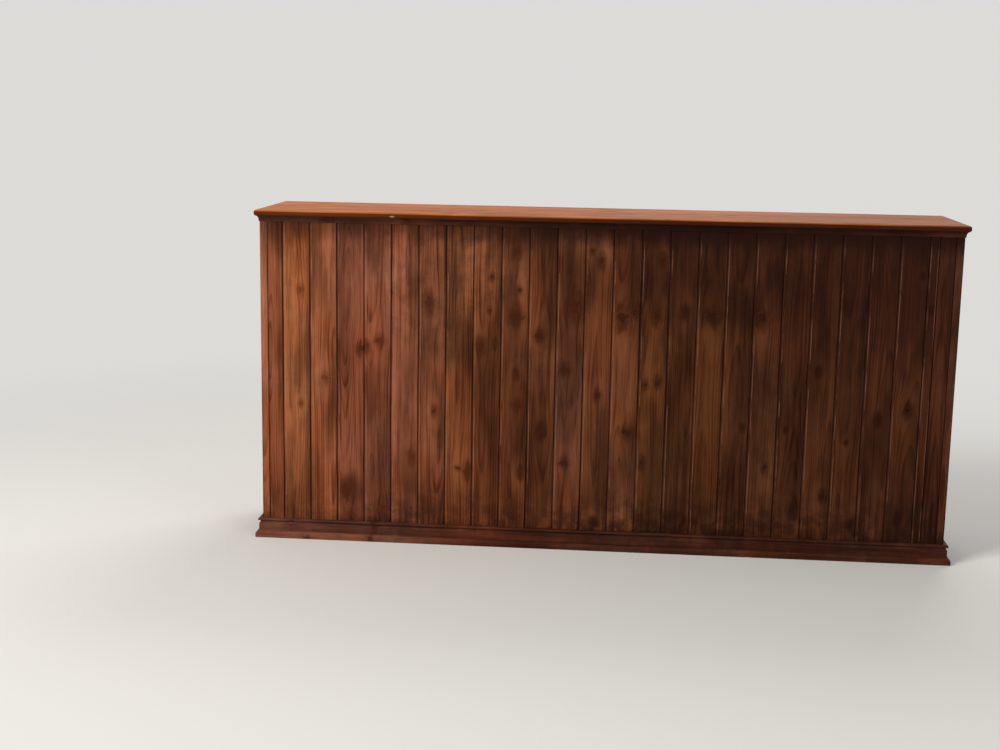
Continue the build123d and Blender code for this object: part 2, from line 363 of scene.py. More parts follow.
def squared(name, outline, depth_span, axes, arris):
    """A flat piece cut to an outline and eased on every edge. axes gives the frame's axis numbers of the
    outline's two directions and of the depth, and the grain runs along the outline's first direction."""
    made = bmesh.new()

    def corner(point, depth):
        place = Vector()
        place[axes[0]], place[axes[1]], place[axes[2]] = point[0], point[1], depth
        return made.verts.new(place)

    near, far = ([corner(point, depth) for point in outline] for depth in depth_span)
    skin(made, [far, near])
    bmesh.ops.bevel(
        made, geom=made.edges[:], offset=arris, segments=2, profile=0.5, affect="EDGES", clamp_overlap=True
    )
    places = [v.co for v in made.verts]
    middle = Vector([(min(p[i] for p in places) + max(p[i] for p in places)) / 2 for i in range(3)])
    offsets = [p - middle for p in places]
    return finish_mesh(name, made, [(p[axes[1]], p[axes[2]], p[axes[0]]) for p in offsets])


def note(piece, name, value):
    """Writes one value at every point of a piece, where its material finds it."""
    layer = piece.data.attributes.new(name, "FLOAT_VECTOR", "POINT")
    layer.data.foreach_set("vector", list(value) * len(piece.data.vertices))


# How warmth changes red, green and blue, and a half width that no point reaches
WARM_TINT = (0.04, 0.1, -0.26)
NO_EDGE = 9.0


def describe_timber(
    piece, seed, shade=1.0, warmth=0.3, knots=(), patches=(), half_width=NO_EDGE, faced=0, spacing=0.0055
):
    """Gives a piece its own figure: where its heart lies, how dark it is (its stain, and on some pieces
    painted light and shade), and its knots.
    half_width is where the worn arris lies. faced is 1 where depth is measured in from a show face."""
    chance = random.Random(seed)
    heart_across = chance.uniform(-0.03, 0.03)
    heart_depth = chance.choice((-1, 1)) * chance.uniform(0.018, 0.06)
    note(piece, "seed", [chance.uniform(0, 40) for _ in range(3)])
    note(piece, "heart", (heart_across, heart_depth, spacing * chance.uniform(0.8, 1.25)))
    note(piece, "tone", [shade * (1 + tint * warmth) for tint in WARM_TINT])
    note(piece, "extent", (half_width, faced, 0))
    for i, knot in enumerate((*knots, *[NO_KNOT] * KNOTS_PER_TIMBER)[:KNOTS_PER_TIMBER]):
        note(piece, f"knot_{i}", knot)
    for i, patch in enumerate((*patches, *[NO_PATCH] * PATCHES_PER_TIMBER)[:PATCHES_PER_TIMBER]):
        note(piece, f"patch_{i}", patch)


def random_knots(seed, half_width, low, high, share=1.0):
    """Knots scattered along a timber, about one each 0.4 m."""
    chance = random.Random(seed * 7 + 1)
    found = []
    along = low + chance.uniform(0.05, 0.3)
    while along < high - 0.04 and len(found) < KNOTS_PER_TIMBER:
        if chance.random() < share:
            radius = chance.uniform(0.004, 0.012)
            found.append((chance.uniform(-0.8, 0.8) * half_width, along, min(radius, half_width * 0.6)))
        along += chance.uniform(0.18, 0.55)
    return found


def dress(piece, material, nodes):
    """Paints a piece and ties it to the frame."""
    piece.data.materials.append(material)
    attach(piece, "root")
    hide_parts(*nodes)


# Node helpers for the materials


class Value:
    """What a node gives. Values add, subtract, multiply and divide as numbers do."""

    def __init__(self, paint, socket):
        self.paint = paint
        self.socket = socket

    def __add__(self, other):
        return self.paint.math("ADD", self, other)

    def __radd__(self, other):
        return self.paint.math("ADD", other, self)

    def __sub__(self, other):
        return self.paint.math("SUBTRACT", self, other)

    def __rsub__(self, other):
        return self.paint.math("SUBTRACT", other, self)

    def __mul__(self, other):
        return self.paint.math("MULTIPLY", self, other)

    def __truediv__(self, other):
        return self.paint.math("DIVIDE", self, other)

    def __rtruediv__(self, other):
        return self.paint.math("DIVIDE", other, self)

    def __abs__(self):
        return self.paint.math("ABSOLUTE", self)


class Painter:
    """Adds shader nodes to one tree. What goes in is a number, a colour or another node's value."""

    def __init__(self, tree):
        self.tree = tree

    def plug(self, socket, given):
        if isinstance(given, Value):
            self.tree.links.new(given.socket, socket)
        elif socket.type == "RGBA":
            colour = (given, given, given) if isinstance(given, (int, float)) else given
            socket.default_value = (*colour, 1)
        else:
            socket.default_value = given

    def add(self, kind, inputs=(), **settings):
        node = self.tree.nodes.new(kind)
        for key, setting in settings.items():
            setattr(node, key, setting)
        for key, given in dict(inputs).items():
            self.plug(node.inputs[key], given)
        return node

    def value(self, kind, inputs=(), output=0, **settings):
        """Adds a node and gives one of its outputs."""
        return Value(self, self.add(kind, inputs, **settings).outputs[output])

    def values(self, kind, inputs=(), **settings):
        """Adds a node and gives all of its outputs by name."""
        node = self.add(kind, inputs, **settings)
        return {socket.name: Value(self, socket) for socket in node.outputs}

    def math(self, operation, a, b=0.0, clamp=False):
        return self.value("ShaderNodeMath", {0: a, 1: b}, operation=operation, use_clamp=clamp)

    def clamped(self, given):
        return self.math("MULTIPLY", given, 1.0, True)

    def highest(self, values):
        found = 0.0
        for value in values:
            found = self.math("MAXIMUM", found, value)
        return found

    def vector(self, operation, a, b):
        return self.value("ShaderNodeVectorMath", {0: a, 1: b}, operation=operation)

    def length(self, vector):
        return self.value("ShaderNodeVectorMath", {0: vector}, "Value", operation="LENGTH")

    def combine(self, x, y, z=0.0):
        return self.value("ShaderNodeCombineXYZ", {0: x, 1: y, 2: z})

    def separate(self, vector):
        return list(self.values("ShaderNodeSeparateXYZ", {0: vector}).values())

    def attribute(self, name):
        kind = "GEOMETRY"
        return self.value("ShaderNodeAttribute", (), "Vector", attribute_name=name, attribute_type=kind)

    def place(self):
        return self.value("ShaderNodeTexCoord", (), "Object")

    def ramp(self, given, start, finish, low=0.0, high=1.0):
        """low at start to high at finish, smoothly."""
        inputs = {"Value": given, "From Min": start, "From Max": finish, "To Min": low, "To Max": high}
        return self.value("ShaderNodeMapRange", inputs, "Result", interpolation_type="SMOOTHSTEP")

    def noise(self, vector, detail=2.0, roughness=0.5, scale=1.0):
        inputs = {"Vector": vector, "Scale": scale, "Detail": detail, "Roughness": roughness}
        return self.value("ShaderNodeTexNoise", inputs, noise_dimensions="3D")

    def mix(self, a, b, share, blend="MIX"):
        node = self.add("ShaderNodeMix", data_type="RGBA", blend_type=blend, clamp_factor=True)
        under, over = [socket for socket in node.inputs if socket.type == "RGBA"]
        for socket, given in ((node.inputs[0], share), (under, a), (over, b)):
            self.plug(socket, given)
        return Value(self, next(socket for socket in node.outputs if socket.type == "RGBA"))


def new_material(name):
    """An empty material and the painter of its nodes."""
    material = bpy.data.materials.new(name)
    material.use_nodes = True
    material.node_tree.nodes.clear()
    return material, Painter(material.node_tree)


def close_group(paint, found):
    """Gives a node group its outputs, each one a number."""
    for name in found:
        paint.tree.interface.new_socket(name, in_out="OUTPUT", socket_type="NodeSocketFloat")
    paint.add("NodeGroupOutput", found)


def knot_group():
    """One knot on a timber: how it pushes the grain aside, and how much of a point lies in it."""
    group = bpy.data.node_groups.new("timber_knot", "ShaderNodeTree")
    for name, kind in (("Across", "Float"), ("Along", "Float"), ("Ragged", "Float"), ("Knot", "Vector")):
        group.interface.new_socket(name, in_out="INPUT", socket_type=f"NodeSocket{kind}")
    paint = Painter(group)
    given = paint.values("NodeGroupInput")
    across, along, signed = paint.separate(given["Knot"])
    beside, beyond = given["Across"] - across, given["Along"] - along
    radius = abs(signed)
    sideways = paint.math("LESS_THAN", signed, 0.0)
    wide = paint.ramp(sideways, 0.0, 1.0, 0.95, 0.6)
    low = paint.ramp(sideways, 0.0, 1.0, 0.75, 1.2)
    oval = paint.length(paint.combine(beside * wide, beyond * low)) / radius + given["Ragged"] * 2.2
    lens = paint.length(paint.combine(beside, beyond * 0.42)) / radius
    weight = 2.6 / (paint.math("POWER", lens, 2.0) + 2.6)
    found = {
        "Push": beside * weight,
        "Core": paint.ramp(oval, 1.15, 0.65),
        "Halo": paint.ramp(oval * 0.55 + lens * 0.45 + given["Ragged"], 2.9, 0.7),
        "Glow": paint.ramp(lens, 5.0, 2.2) * paint.ramp(lens, 1.0, 1.9),
        "Rings": paint.math("SINE", oval * 16.0) * paint.ramp(oval, 1.5, 1.0),
    }
    close_group(paint, found)
    return group


def figure_group():
    """The figure of sawn pine: growth rings round a heart, fibres and streaks along the grain, and knots."""
    group = bpy.data.node_groups.new("timber_figure", "ShaderNodeTree")
    paint = Painter(group)
    across, depth, along = paint.separate(paint.attribute("grain"))
    heart_across, heart_depth, spacing = paint.separate(paint.attribute("heart"))
    half_width, has_face, _ = paint.separate(paint.attribute("extent"))
    seed = paint.attribute("seed")

    def mottle(sideways, cycles, lengthways, detail, roughness=0.5):
        """Noise with so many cycles a metre across the grain, and lengthways as many along it."""
        place = paint.combine(sideways * cycles, depth * cycles, along * lengthways)
        return paint.noise(paint.vector("ADD", place, seed), detail, roughness)

    def drift(cycles, lengthways, detail):
        """The same about nothing, so that it moves both ways."""
        return mottle(across, cycles, lengthways, detail) - 0.5

    ragged = drift(75, 55, 3.0)
    uneven = drift(30, 9, 3.0) * 1.6
    sway = drift(0.8, 0.9, 1.0) * 0.045
    rise = drift(0.7, 1.3, 1.0) * 0.07
    waver = drift(18, 6, 2.0) * 0.004

    knot = knot_group()
    knots = []
    for i in range(KNOTS_PER_TIMBER):
        inputs = {"Across": across, "Along": along, "Ragged": ragged, "Knot": paint.attribute(f"knot_{i}")}
        knots.append(paint.values("ShaderNodeGroup", inputs, node_tree=knot))
    # Pale and dark patches along a timber: faded and worn stain and dirt, and on some pieces painted light
    # and shade.
    pale, dim = 0.0, 0.0
    for i in range(PATCHES_PER_TIMBER):
        middle, reach, strength = paint.separate(paint.attribute(f"patch_{i}"))
        weight = paint.ramp(abs(along - middle) / reach + uneven, 1.3, 0.2) * strength
        pale = pale + paint.math("MAXIMUM", weight, 0.0)
        dim = dim - paint.math("MINIMUM", weight, 0.0)

    flow = across - sum(each["Push"] for each in knots)
    from_heart = paint.combine(flow + sway - heart_across, depth + rise - heart_depth)
    turns = (paint.length(from_heart) + waver) / spacing
    year = paint.math("FRACT", turns)
    late = paint.ramp(year, 0.35, 0.9) * paint.ramp(year, 1.0, 0.93)
    count = paint.math("FLOOR", turns)
    boldness = paint.value("ShaderNodeTexWhiteNoise", {"W": count}, noise_dimensions="1D")
    edge = half_width - abs(across)
    scuffed = paint.ramp(mottle(flow, 240, 13, 3.0, 0.6), 0.42, 0.62, 0.5, 1.35)
    found = {
        "Ring": late * paint.ramp(boldness, 0.0, 1.0, 0.35, 1.0),
        "Fibre": mottle(flow, 700, 9, 2.0, 0.6),
        "Streak": mottle(flow, 85, 1.6, 3.0, 0.6),
        "Blotch": mottle(across, 11, 2.6, 3.0),
        "Core": paint.highest(each["Core"] for each in knots),
        "Halo": paint.highest(each["Halo"] for each in knots),
        "Glow": paint.highest(each["Glow"] for each in knots),
        "Rings": sum(each["Rings"] for each in knots),
        "Groove": paint.ramp(depth, 0.0001, 0.0017) * has_face,
        "Back": paint.ramp(depth, BOARD_THICKNESS - 0.0012, BOARD_THICKNESS - 0.0002) * has_face,
        "Arris": paint.ramp(edge, 0.0065, 0.0045) * paint.ramp(edge, 0.0022, 0.0034),
        "Pale": pale * scuffed,
        "Dark": dim,
    }
    close_group(paint, found)
    return group


# Finishes

# What a finish has where it says nothing else
PLAIN_LOOK = dict(
    rub=0.0, groove=0.0, foot_dirt=0.0, under_dirt=0.0, rubbed_colour=None, wear_scale=22,
    coat=0.0, coat_roughness=0.2,
)

# Heights where the foot's dirt and painted shade start and are full, and how far down from the top the
# painted shade under it reaches
FOOT_DIRT_START, FOOT_DIRT_FULL = 0.24, 0.05
UNDER_TOP_SHADE_REACH = 0.07


class Timber:
    """Pine under one finish, painted in layers. look says how strong each layer is."""

    # The dirt colour is laid both for real dirt and for painted shade under and along the top.
    def __init__(self, name, light, dark, knot, dirt, **look):
        self.light, self.dark, self.dirt = light, dark, dirt
        self.look = look = SimpleNamespace(**{**PLAIN_LOOK, **look})
        self.material, self.paint = new_material(name)
        paint = self.paint
        figure = bpy.data.node_groups.get("timber_figure") or figure_group()
        self.grain = grain = paint.values("ShaderNodeGroup", node_tree=figure)
        self.tone = paint.attribute("tone")
        self.place = paint.place()
        across, _, self.height = paint.separate(self.place)
        # Stronger to the right: it makes the painted shade under and along the top, and the dirt at the
        # foot, grow toward the right, as light falling from the left would leave it.
        self.to_the_right = paint.ramp(across, -HALF_LENGTH, HALF_LENGTH * 0.2, 0.45, 1.0)
        self.worn = paint.noise(self.place, 4.0, 0.62, look.wear_scale)
        self.cloud = paint.noise(self.place, 2.0, 0.5, 3.2)
        self.streak = paint.ramp(grain["Streak"], 0.34, 0.68)
        hard = grain["Ring"] * look.ring + self.streak * look.streak
        hard = hard + (grain["Fibre"] - 0.5) * look.fibre + grain["Glow"] * -0.35
        self.hardness = paint.clamped(hard)
        self.colour = paint.mix(light, dark, self.hardness)
        self.age()
        self.knots(knot)
        self.use()

    def lay(self, colour, share, blend="MIX"):
        """Lays a colour over the layers so far."""
        self.colour = self.paint.mix(self.colour, colour, share, blend)

    def tinted(self, colour, share=1.0):
        """A colour under the piece's own tone."""
        return self.paint.mix(colour, self.tone, share, "MULTIPLY")

    def age(self):
        """Faded streaks and pale patches, scuffs, the piece's own tone, dark patches and uneven stain. On
        some pieces the tone and the patches carry painted light and shade falling from the left.
        """
        paint, look, grain = self.paint, self.look, self.grain
        faded = paint.ramp(self.cloud, 0.47, 0.66) * paint.ramp(grain["Streak"], 0.62, 0.4)
        self.lay(look.faded_colour, faded * look.faded + grain["Pale"])
        self.lay(self.tone, 1.0, "MULTIPLY")
        self.lay(self.dirt, grain["Dark"])
        blotch = paint.ramp(grain["Blotch"], 0.66, 0.34, 1.0 - look.blotch, 1.0 + look.blotch * 0.7)
        self.lay(paint.combine(blotch, blotch, blotch), 1.0, "MULTIPLY")

    def knots(self, knot):
        """Dark knots with their halos and rings."""
        stained = self.tinted(self.tinted(knot))
        self.lay(stained, self.grain["Halo"] * self.look.halo)
        self.lay(stained, self.grain["Core"] * 0.85)
        self.lay(self.dark, self.paint.ramp(self.grain["Rings"], 0.2, 0.9) * 0.55)

    def use(self):
        """Arrises rubbed pale with a painted glint, dirt in the joints, dirt along the foot with painted
        shade growing to the right, and painted shade under the top.
        """
        paint, look, grain = self.paint, self.look, self.grain
        # Rubbed arrises: worn pale, and partly a painted glint where light would catch the chamfers.
        streaky = paint.noise(paint.vector("MULTIPLY", self.place, (25, 25, 7)), 3.0, 0.65)
        rubbed = grain["Arris"] * paint.ramp(streaky, 0.42, 0.6)
        self.lay(self.tinted(look.rubbed_colour or self.light, 0.5), rubbed * look.rub)
        self.lay(self.dirt, grain["Groove"] * look.groove)
        # Dirt along the foot, with painted shade making it stronger to the right.
        foot = paint.ramp(self.height, FOOT_DIRT_START, FOOT_DIRT_FULL) * paint.ramp(self.worn, 0.34, 0.6)
        self.lay(self.dirt, foot * (self.to_the_right * look.foot_dirt))
        # Painted shade under the top, stronger to the right.
        ragged_height = self.height + self.worn * 0.06
        under = paint.ramp(ragged_height, TOP_UNDERSIDE - UNDER_TOP_SHADE_REACH, TOP_UNDERSIDE)
        self.lay(self.dirt, under * (self.to_the_right * look.under_dirt))

    def handled_edge(self, strength):
        """Painted shade on the top's edge below its surface, as if lit from above, stronger to the right."""
        nosing_shade = self.paint.ramp(self.height, TOP_SURFACE - 0.002, TOP_SURFACE - 0.0055)
        self.lay(self.dirt, nosing_shade * (self.to_the_right * 0.21 + strength))

    def chipped(self, centre, colour):
        """Bare timber round a chip."""
        paint = self.paint
        off = paint.vector("MULTIPLY", paint.vector("SUBTRACT", self.place, centre), (1.0, 1.0, 2.6))
        frayed = paint.noise(self.place, 2.0, 0.6, 260)
        away = paint.length(off) + self.worn * 0.01 + frayed * 0.009
        self.lay(colour, paint.ramp(away, 0.0205, 0.0125))

    def bare_back(self, light, dark, knot):
        """The rear face of a board, which was never stained."""
        behind = self.paint.mix(light, dark, self.hardness)
        behind = self.paint.mix(behind, dark, self.grain["Halo"] * 0.4)
        behind = self.paint.mix(behind, knot, self.grain["Core"] * 0.9)
        self.lay(behind, self.grain["Back"])

    def finished(self):
        """Grime over all, and the gloss and relief of the surface."""
        paint, look, grain, worn = self.paint, self.look, self.grain, self.worn
        grime = paint.ramp(self.cloud, 0.48, 0.66) * paint.ramp(worn, 0.42, 0.66)
        self.lay(self.dirt, grime * look.grime)
        rough = look.roughness + grain["Fibre"] * 0.12 + worn * 0.16 + grain["Groove"] * 0.2
        relief = grain["Ring"] * 0.5 + grain["Fibre"] * 0.45 + self.streak * 0.25
        relief = relief + grain["Core"] * -0.6 + worn * look.pitting
        bump = {"Strength": look.bump, "Distance": 0.0009, "Height": relief}
        surface = {
            "Base Color": self.colour,
            "Roughness": rough,
            "Normal": paint.value("ShaderNodeBump", bump),
            "Coat Weight": look.coat,
            "Coat Roughness": look.coat_roughness,
            "Specular IOR Level": look.shine,
        }
        paint.add("ShaderNodeOutputMaterial", {"Surface": paint.value("ShaderNodeBsdfPrincipled", surface)})
        return self.material


def stain_on_boards(finish):
    timber = Timber(
        "stain_on_boards",
        finish.board_light, finish.board_dark, finish.board_knot, finish.stain_dirt,
        ring=0.6, streak=0.62, fibre=0.8, blotch=0.46, halo=0.55, faded=0.5, faded_colour=finish.board_faded,
        rub=0.6, rubbed_colour=finish.board_rubbed, groove=0.8, foot_dirt=0.75, under_dirt=0.94, grime=0.25,
        roughness=0.4, shine=0.045, bump=0.35, pitting=0.2,
    )
    timber.bare_back(finish.pine_light, finish.pine_dark, finish.pine_knot)
    return timber.finished()


def stain_on_mouldings(finish):
    return Timber(
        "stain_on_mouldings",
        finish.moulding_light, finish.moulding_dark, finish.board_knot, finish.stain_dirt,
        ring=0.5, streak=0.6, fibre=0.7, blotch=0.35, halo=0.3,
        faded=0.4, faded_colour=finish.moulding_faded, foot_dirt=0.3, grime=0.28,
        roughness=0.38, shine=0.06, bump=0.3, pitting=0.35,
    ).finished()


def varnish_on_top(finish):
    wear = bpy.context.scene.counter_wear
    timber = Timber(
        "varnish_on_top",
        finish.top_light, finish.top_dark, finish.board_knot, finish.top_dirt,
        ring=0.85, streak=0.5, fibre=0.5, blotch=0.2, halo=0.35, faded=0.0, faded_colour=finish.top_light,
        grime=0.3, wear_scale=14, roughness=0.24, shine=0.02, bump=0.18, pitting=0.5,
    )
    timber.handled_edge(0.76)
    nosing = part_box("counter_top")[0].y
    timber.chipped((wear.chip_place, nosing, TOP_SURFACE - wear.chip_top * 2), finish.chip)
    return timber.finished()


def bare_pine(finish):
    return Timber(
        "bare_pine",
        finish.pine_light, finish.pine_dark, finish.pine_knot, finish.pine_dirt,
        ring=0.8, streak=0.3, fibre=0.6, blotch=0.12, halo=0.4, faded=0.3, faded_colour=finish.pine_faded,
        foot_dirt=0.35, grime=0.3, roughness=0.52, shine=0.2, bump=0.55, pitting=0.3,
    ).finished()


def sealed_pine(finish):
    return Timber(
        "sealed_pine",
        finish.shelf_light, finish.shelf_dark, finish.pine_knot, finish.pine_dirt,
        ring=0.8, streak=0.35, fibre=0.5, blotch=0.15, halo=0.4, faded=0.3, faded_colour=finish.shelf_faded,
        foot_dirt=0.2, grime=0.35, roughness=0.4, shine=0.25, bump=0.35, pitting=0.4,
        coat=0.08, coat_roughness=0.3,
    ).finished()


def screw_metal(finish):
    metal, paint = new_material("screw_steel")
    tarnish = paint.noise(paint.place(), 3.0, 0.6, 420)
    surface = {
        "Base Color": paint.mix(finish.steel, finish.rust, paint.ramp(tarnish, 0.42, 0.66)),
        "Roughness": paint.ramp(tarnish, 0.3, 0.7, 0.35, 0.75),
        "Metallic": 0.85,
    }
    paint.add("ShaderNodeOutputMaterial", {"Surface": paint.value("ShaderNodeBsdfPrincipled", surface)})
    return metal


def floor_paint(finish):
    """A plain matt floor that passes into the backdrop's colour at a distance."""
    plain, paint = new_material("plain_floor")
    away = paint.ramp(paint.length(paint.place()), 1.5, 4.2)
    matt = paint.value("ShaderNodeBsdfDiffuse", {"Color": finish.floor})
    glow = paint.value("ShaderNodeEmission", {"Color": finish.backdrop})
    mixed = paint.value("ShaderNodeMixShader", {0: away, 1: matt, 2: glow})
    paint.add("ShaderNodeOutputMaterial", {"Surface": mixed})
    return plain


def material(maker):
    """The finish that a maker gives, made once."""
    return bpy.data.materials.get(maker.__name__) or maker(bpy.context.scene.counter_finish)


# Boards


def v_edge(sizes, edge, inward):
    """A board's chamfer in plan, from its face to its edge, with the crest eased. inward is 1 or -1."""
    v, ease, crest = sizes.v_depth, sizes.arris, sizes.arris * 0.4
    return [(edge + inward * (v + ease), 0), (edge + inward * (v - crest), crest), (edge, v)]


def tongue_edge(sizes, edge, slack=0.0):
    """A tongue or a groove beside an edge, from front to back. slack widens a groove."""
    front, back = sizes.tongue_setback - slack, sizes.tongue_setback + sizes.tongue + slack
    return [(edge, front), (edge + sizes.tongue, front), (edge + sizes.tongue, back), (edge, back)]


def board_outline(sizes, width, grooved, tongued):
    """A V-jointed board in plan: face on v = 0, groove on the left, tongue on the right."""
    slack = sizes.joint_gap / 2
    left, right = slack, width - slack
    outline = v_edge(sizes, left, 1)
    if grooved:
        outline += tongue_edge(sizes, left, slack)
    outline += [(left, BOARD_THICKNESS), (right, BOARD_THICKNESS)]
    if tongued:
        outline += tongue_edge(sizes, right)[::-1]
    return spread_outline(outline + v_edge(sizes, right, -1)[::-1])


def warp(wear, seed, width):
    """A board's own cup and stray from its line. The back stays against the framing."""
    chance = random.Random(seed)
    cup = chance.uniform(-0.2, 1.0) * wear.cup
    start = chance.uniform(0, 50)

    def nudge(u, v, w):
        face = 1 - v / BOARD_THICKNESS
        bow = (2 * u / width - 1) ** 2
        sway = noise.noise((start, w * 1.7, 0)) * wear.stray
        lean = (noise.noise((start, w * 2.3, 9)) * 0.5 + 0.3) * wear.stray
        return u + sway, v + max(0.0, cup * bow + lean) * face, w

    return nudge


def board_runs(sizes, start, finish):
    """Where boards begin and end over a run: full boards, then one ripped to what is left."""
    full = int((finish - start - sizes.narrowest_rip) // sizes.board_cover)
    edges = [start + sizes.board_cover * i for i in range(full + 1)] + [finish]
    return list(zip(edges, edges[1:]))


def make_board(name, node, width, joints, place, seed, **described):
    """One upright board. joints says whether it is grooved and tongued."""
    scene = bpy.context.scene
    outline = board_outline(scene.counter_sizes, width, *joints)
    piece = swept(name, outline, upright, BOARD_STEP, place, warp(scene.counter_wear, seed, width))
    describe_timber(piece, seed, half_width=width / 2, faced=1, **described)
    dress(piece, material(stain_on_boards), [node])


class FrontBoards(bpy.types.Operator):
    """Build the tongued, grooved and V-jointed boards of the front"""

    bl_idname = "counter.front_boards"
    bl_label = "Front boards"

    def execute(self, context):
        sizes = context.scene.counter_sizes
        nodes = ("front_boards_left", "front_boards_middle", "front_boards_right")
        slack = sizes.joint_gap / 2
        runs = board_runs(sizes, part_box(nodes[0])[0].x - slack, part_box(nodes[-1])[1].x + slack)
        for i, (left, right) in enumerate(runs):
            number = i + 1
            width = right - left
            middle = (left + right) / 2
            knots = [(a * MILLIMETRE, h, r * MILLIMETRE) for a, h, r in FRONT_KNOTS.get(number, ())]
            if not knots:
                knots = random_knots(FRONT_KNOT_SEED + number, width / 2, BOARD_FOOT, TOP_UNDERSIDE, 0.5)
            make_board(
                f"front_board_{number:02d}",
                next(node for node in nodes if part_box(node)[0].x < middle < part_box(node)[1].x),
                width,
                (True, number < len(runs)),
                lambda u, v, w, left=left: (left + u, FRONT_FACE + v, w),
                number,
                shade=FRONT_SHADES[i],
                warmth=FRONT_WARMTHS[i],
                knots=knots,
                patches=FRONT_PATCHES.get(number, ()),
            )
        return {"FINISHED"}


class EndBoards(bpy.types.Operator):
    """Build the boards of the two ends"""

    bl_idname = "counter.end_boards"
    bl_label = "End boards"

    def execute(self, context):
        runs = board_runs(context.scene.counter_sizes, FRONT_FACE + BOARD_THICKNESS, REAR_FACE)
        # Each end's shade follows the front: lighter on the left and darker on the right, as painted light
        # and shade falling from the left.
        for (side, sign), shade in zip(SIDES, (1.05, 0.6)):
            for i, (near, far) in enumerate(runs):
                seed = END_BOARD_SEED + i + 10 * sign
                chance = random.Random(seed)
                make_board(
                    f"{side}_end_board_{i + 1}",
                    f"{side}_end_boards",
                    far - near,
                    (i < len(runs) - 1, i > 0),
                    lambda u, v, w, far=far, sign=sign: (sign * (HALF_LENGTH - v), far - u, w),
                    seed,
                    shade=shade * chance.uniform(0.8, 1.15),
                    warmth=chance.uniform(0.1, 0.8),
                    knots=random_knots(seed, (far - near) / 2, BOARD_FOOT, TOP_UNDERSIDE),
                )
        return {"FINISHED"}


def stile_outline(sizes, tongued):
    """A stile in plan, chamfered on both edges and tongued where the boards begin."""
    right, chamfer = STILE_WIDTH, sizes.edge_chamfer
    outline = [(0, chamfer), (0, BOARD_THICKNESS), (right, BOARD_THICKNESS)]
    if tongued:
        outline += tongue_edge(sizes, right)[::-1]
    return spread_outline(outline + v_edge(sizes, right, -1)[::-1] + [(chamfer, 0)])


def strip_outline(sizes):
    """A corner strip in plan, with its outer arris rounded over and its inner one chamfered."""
    rounded, chamfer = sizes.strip_round, sizes.edge_chamfer
    outline = arc((rounded, rounded), (rounded, rounded), 180, 270, 5)
    outline += [(STRIP_WIDTH - chamfer, 0), (STRIP_WIDTH, chamfer)]
    return outline + [(STRIP_WIDTH, BOARD_THICKNESS), (0, BOARD_THICKNESS)]


class StilesAndStrips(bpy.types.Operator):
    """Build the narrow stiles and the corner strips"""

    bl_idname = "counter.stiles"
    bl_label = "Stiles and strips"

    def execute(self, context):
        sizes = context.scene.counter_sizes
        finish = material(stain_on_boards)
        stile_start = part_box("left_stile")[0].x
        # The left side's pieces are lighter and the right side's darker: painted light and shade falling
        # from the left, as on the front boards.
        for (side, sign), shade in zip(SIDES, (1.3, 0.42)):

            def place(start, sign=sign):
                return lambda u, v, w: (-sign * (start + u), FRONT_FACE + v, w)

            outline = stile_outline(sizes, side == "left")
            stile = swept(f"{side}_edge_stile", outline, upright, BOARD_STEP, place(stile_start))
            describe_timber(stile, STILE_SEED - sign, shade * 0.75, 0.2, faced=1)
            dress(stile, finish, [f"{side}_stile"])
            strip = swept(f"{side}_strip", strip_outline(sizes), upright, BOARD_STEP, place(-HALF_LENGTH))
            # The strip's pale patch over its whole height is a painted highlight where its rounded edge
            # would catch the light.
            seed, patches = STRIP_SEED - sign, [(0.95, 0.5, 0.9)]
            describe_timber(strip, seed, shade * 0.82, 0.3, patches=patches, faced=1)
            dress(strip, finish, [f"{side}_corner_strip"])
        return {"FINISHED"}


# Mouldings, as (outward, up) sections


def cove_outline(sizes):
    """A hollow quarter between two flat lips."""
    low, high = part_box("cove_front")
    projection, height, lip = FRONT_FACE - low.y, high.z - low.z, sizes.cove_lip
    hollow = arc((projection, low.z + lip), (projection - lip, height - 2 * lip), 90, 180, 10)
    return [(0, high.z), (projection, high.z), *hollow, (lip, low.z), (0, low.z)]


def plinth_outline(sizes):
    """A flat board with a small hollow and a quirked bead along its top."""
    low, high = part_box("plinth_front")
    projection = FRONT_FACE - low.y
    thickness = FRONT_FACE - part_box("shoe_front")[1].y
    radius, ease = sizes.plinth_bead_radius, sizes.moulding_ease
    step_ease = ease * 0.6
    quirk_face = thickness - sizes.plinth_quirk_depth
    hollow_face = thickness - sizes.plinth_fillet
    bead_foot = high.z - 2 * radius
    hollow_top = bead_foot - sizes.plinth_quirk
    hollow_foot = hollow_top - sizes.plinth_hollow
    outline = [(0, 0), (thickness - ease, 0), (thickness, ease)]
    outline += [(thickness, hollow_foot - step_ease), (thickness - step_ease, hollow_foot)]
    outline += arc((hollow_face, hollow_top), (hollow_face - quirk_face, sizes.plinth_hollow), 270, 180, 6)
    outline += [(quirk_face, bead_foot)]
    outline += arc((projection - radius, high.z - radius), (radius, radius), -90, 90, 10)
    return outline + [(0, high.z)]


def shoe_outline(sizes):
    """A strip before the plinth, rounded over at its top."""
    low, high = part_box("shoe_front")
    inner, outer = FRONT_FACE - high.y, FRONT_FACE - low.y
    radius, ease = outer - inner, sizes.moulding_ease * 1.2
    rounding = arc((inner, high.z - radius), (radius, radius), 0, 90, 8)
    return [(inner, 0), (outer - ease, 0), (outer, ease), *rounding]


def bruise(wear, seed, amount):
    """Small dents along a moulding, pushed in from its face."""
    chance = random.Random(seed)
    offset = chance.uniform(0, 90)

    def nudge(u, v, w):
        hit = max(0.0, noise.noise((w * 9 + offset, v * 30, 0)) - 0.35)
        return u - min(u, hit * wear.dent * amount), v, w

    return nudge


